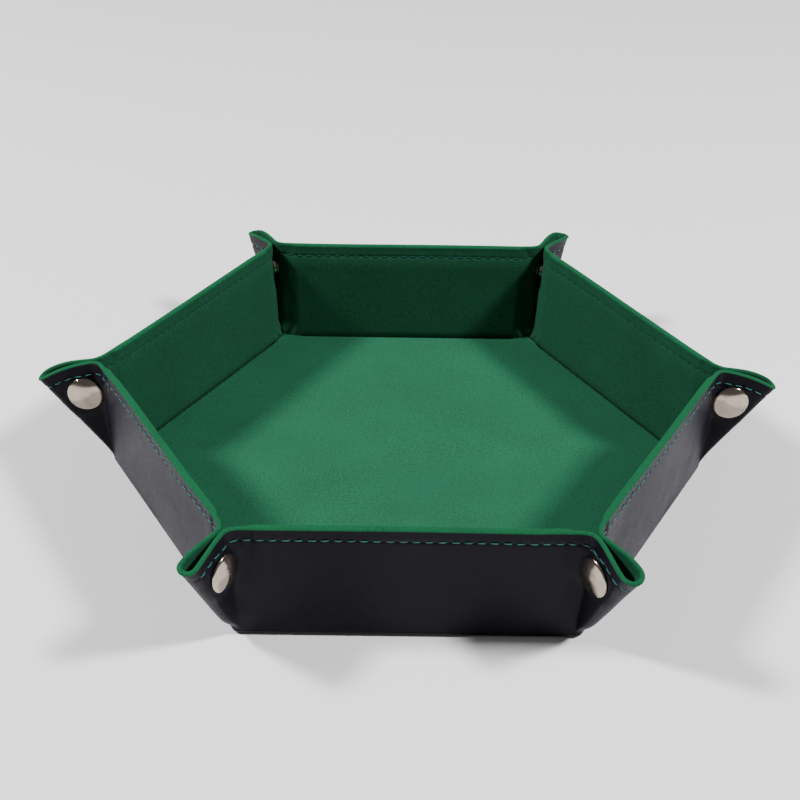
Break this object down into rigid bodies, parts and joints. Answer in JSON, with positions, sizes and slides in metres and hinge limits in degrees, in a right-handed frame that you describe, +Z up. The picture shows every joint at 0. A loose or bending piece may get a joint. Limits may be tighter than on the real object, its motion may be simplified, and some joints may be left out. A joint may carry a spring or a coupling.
{
  "type": "folding dice tray",
  "caption": "Hexagonal folding dice tray: velvet-lined leatherette walls fold up from a stiff base and snap shut in an ear at each corner.",
  "frame": {"origin": "middle of the underside of the base, on the surface that the tray stands on", "axes": "+Z up out of the tray; +X from the left ear to the right ear; the front wall faces -Y"},
  "size_m": [0.2534, 0.2224, 0.0425],
  "materials": {
    "outer_leather": "semi-gloss near-black leatherette with a fine grain",
    "stiffener_board": "pressed greyboard, hidden between leather and velvet",
    "velvet_lining": "short-pile green velvet",
    "snap_metal": "polished nickel-plated press snap"
  },
  "bodies": {
    "base": {"base_leather": "outer_leather", "base_board": "stiffener_board", "base_velvet": "velvet_lining"},
    "front_wall": {"front_wall_leather": "outer_leather", "front_wall_board": "stiffener_board", "front_wall_velvet": "velvet_lining"},
    "front_right_wall": {"front_right_wall_leather": "outer_leather", "front_right_wall_board": "stiffener_board", "front_right_wall_velvet": "velvet_lining"},
    "back_right_wall": {"back_right_wall_leather": "outer_leather", "back_right_wall_board": "stiffener_board", "back_right_wall_velvet": "velvet_lining"},
    "back_wall": {"back_wall_leather": "outer_leather", "back_wall_board": "stiffener_board", "back_wall_velvet": "velvet_lining"},
    "back_left_wall": {"back_left_wall_leather": "outer_leather", "back_left_wall_board": "stiffener_board", "back_left_wall_velvet": "velvet_lining"},
    "front_left_wall": {"front_left_wall_leather": "outer_leather", "front_left_wall_board": "stiffener_board", "front_left_wall_velvet": "velvet_lining"},
    "front_flap_l": {"front_flap_l_leather": "outer_leather", "front_flap_l_velvet": "velvet_lining", "front_left_snap_stud": "snap_metal"},
    "front_flap_r": {"front_flap_r_leather": "outer_leather", "front_flap_r_velvet": "velvet_lining", "front_right_snap_socket": "snap_metal"},
    "front_right_flap_l": {"front_right_flap_l_leather": "outer_leather", "front_right_flap_l_velvet": "velvet_lining", "front_right_snap_stud": "snap_metal"},
    "front_right_flap_r": {"front_right_flap_r_leather": "outer_leather", "front_right_flap_r_velvet": "velvet_lining", "right_snap_socket": "snap_metal"},
    "back_right_flap_l": {"back_right_flap_l_leather": "outer_leather", "back_right_flap_l_velvet": "velvet_lining", "right_snap_stud": "snap_metal"},
    "back_right_flap_r": {"back_right_flap_r_leather": "outer_leather", "back_right_flap_r_velvet": "velvet_lining", "back_right_snap_socket": "snap_metal"},
    "back_flap_l": {"back_flap_l_leather": "outer_leather", "back_flap_l_velvet": "velvet_lining", "back_right_snap_stud": "snap_metal"},
    "back_flap_r": {"back_flap_r_leather": "outer_leather", "back_flap_r_velvet": "velvet_lining", "back_left_snap_socket": "snap_metal"},
    "back_left_flap_l": {"back_left_flap_l_leather": "outer_leather", "back_left_flap_l_velvet": "velvet_lining", "back_left_snap_stud": "snap_metal"},
    "back_left_flap_r": {"back_left_flap_r_leather": "outer_leather", "back_left_flap_r_velvet": "velvet_lining", "left_snap_socket": "snap_metal"},
    "front_left_flap_l": {"front_left_flap_l_leather": "outer_leather", "front_left_flap_l_velvet": "velvet_lining", "left_snap_stud": "snap_metal"},
    "front_left_flap_r": {"front_left_flap_r_leather": "outer_leather", "front_left_flap_r_velvet": "velvet_lining", "front_left_snap_socket": "snap_metal"}
  },
  "joints": [
    {"name": "front_wall_fold", "type": "hinge", "parent": "base", "child": "front_wall", "pos_m": [0, -0.09007, 0.0004], "axis": [1, 0, 0], "range_deg": [0, 81.5]},
    {"name": "front_right_wall_fold", "type": "hinge", "parent": "base", "child": "front_right_wall", "pos_m": [0.078, -0.04503, 0.0004], "axis": [0.5, 0.866, 0], "range_deg": [0, 81.5]},
    {"name": "back_right_wall_fold", "type": "hinge", "parent": "base", "child": "back_right_wall", "pos_m": [0.078, 0.04503, 0.0004], "axis": [-0.5, 0.866, 0], "range_deg": [0, 81.5]},
    {"name": "back_wall_fold", "type": "hinge", "parent": "base", "child": "back_wall", "pos_m": [0, 0.09007, 0.0004], "axis": [-1, 0, 0], "range_deg": [0, 81.5]},
    {"name": "back_left_wall_fold", "type": "hinge", "parent": "base", "child": "back_left_wall", "pos_m": [-0.078, 0.04503, 0.0004], "axis": [-0.5, -0.866, 0], "range_deg": [0, 81.5]},
    {"name": "front_left_wall_fold", "type": "hinge", "parent": "base", "child": "front_left_wall", "pos_m": [-0.078, -0.04503, 0.0004], "axis": [0.5, -0.866, 0], "range_deg": [0, 81.5]},
    {"name": "front_flap_l_fold", "type": "hinge", "parent": "front_wall", "child": "front_flap_l", "pos_m": [-0.05069, -0.08735, 0.00054], "axis": [0.0302, 0.0523, -0.9982], "range_deg": [0, 56.25]},
    {"name": "front_flap_r_fold", "type": "hinge", "parent": "front_wall", "child": "front_flap_r", "pos_m": [0.05069, -0.08735, 0.00054], "axis": [0.0302, -0.0523, 0.9982], "range_deg": [0, 56.25]},
    {"name": "front_right_flap_l_fold", "type": "hinge", "parent": "front_right_wall", "child": "front_right_flap_l", "pos_m": [0.0503, -0.08757, 0.00054], "axis": [-0.0302, 0.0523, -0.9982], "range_deg": [0, 56.25]},
    {"name": "front_right_flap_r_fold", "type": "hinge", "parent": "front_right_wall", "child": "front_right_flap_r", "pos_m": [0.10099, 0.00022, 0.00054], "axis": [0.0604, 0, 0.9982], "range_deg": [0, 56.25]},
    {"name": "back_right_flap_l_fold", "type": "hinge", "parent": "back_right_wall", "child": "back_right_flap_l", "pos_m": [0.10099, -0.00022, 0.00054], "axis": [-0.0604, 0, -0.9982], "range_deg": [0, 56.25]},
    {"name": "back_right_flap_r_fold", "type": "hinge", "parent": "back_right_wall", "child": "back_right_flap_r", "pos_m": [0.0503, 0.08757, 0.00054], "axis": [0.0302, 0.0523, 0.9982], "range_deg": [0, 56.25]},
    {"name": "back_flap_l_fold", "type": "hinge", "parent": "back_wall", "child": "back_flap_l", "pos_m": [0.05069, 0.08735, 0.00054], "axis": [-0.0302, -0.0523, -0.9982], "range_deg": [0, 56.25]},
    {"name": "back_flap_r_fold", "type": "hinge", "parent": "back_wall", "child": "back_flap_r", "pos_m": [-0.05069, 0.08735, 0.00054], "axis": [-0.0302, 0.0523, 0.9982], "range_deg": [0, 56.25]},
    {"name": "back_left_flap_l_fold", "type": "hinge", "parent": "back_left_wall", "child": "back_left_flap_l", "pos_m": [-0.0503, 0.08757, 0.00054], "axis": [0.0302, -0.0523, -0.9982], "range_deg": [0, 56.25]},
    {"name": "back_left_flap_r_fold", "type": "hinge", "parent": "back_left_wall", "child": "back_left_flap_r", "pos_m": [-0.10099, -0.00022, 0.00054], "axis": [-0.0604, 0, 0.9982], "range_deg": [0, 56.25]},
    {"name": "front_left_flap_l_fold", "type": "hinge", "parent": "front_left_wall", "child": "front_left_flap_l", "pos_m": [-0.10099, 0.00022, 0.00054], "axis": [0.0604, 0, -0.9982], "range_deg": [0, 56.25]},
    {"name": "front_left_flap_r_fold", "type": "hinge", "parent": "front_left_wall", "child": "front_left_flap_r", "pos_m": [-0.0503, -0.08757, 0.00054], "axis": [-0.0302, -0.0523, 0.9982], "range_deg": [0, 56.25]}
  ],
  "couplings": [
    {"joint": "front_right_wall_fold", "follows": "front_wall_fold", "ratio": 1},
    {"joint": "back_right_wall_fold", "follows": "front_wall_fold", "ratio": 1},
    {"joint": "back_wall_fold", "follows": "front_wall_fold", "ratio": 1},
    {"joint": "back_left_wall_fold", "follows": "front_wall_fold", "ratio": 1},
    {"joint": "front_left_wall_fold", "follows": "front_wall_fold", "ratio": 1},
    {"joint": "front_flap_l_fold", "follows": "front_wall_fold", "ratio": 0.69018},
    {"joint": "front_flap_r_fold", "follows": "front_wall_fold", "ratio": 0.69018},
    {"joint": "front_right_flap_l_fold", "follows": "front_wall_fold", "ratio": 0.69018},
    {"joint": "front_right_flap_r_fold", "follows": "front_wall_fold", "ratio": 0.69018},
    {"joint": "back_right_flap_l_fold", "follows": "front_wall_fold", "ratio": 0.69018},
    {"joint": "back_right_flap_r_fold", "follows": "front_wall_fold", "ratio": 0.69018},
    {"joint": "back_flap_l_fold", "follows": "front_wall_fold", "ratio": 0.69018},
    {"joint": "back_flap_r_fold", "follows": "front_wall_fold", "ratio": 0.69018},
    {"joint": "back_left_flap_l_fold", "follows": "front_wall_fold", "ratio": 0.69018},
    {"joint": "back_left_flap_r_fold", "follows": "front_wall_fold", "ratio": 0.69018},
    {"joint": "front_left_flap_l_fold", "follows": "front_wall_fold", "ratio": 0.69018},
    {"joint": "front_left_flap_r_fold", "follows": "front_wall_fold", "ratio": 0.69018}
  ]
}
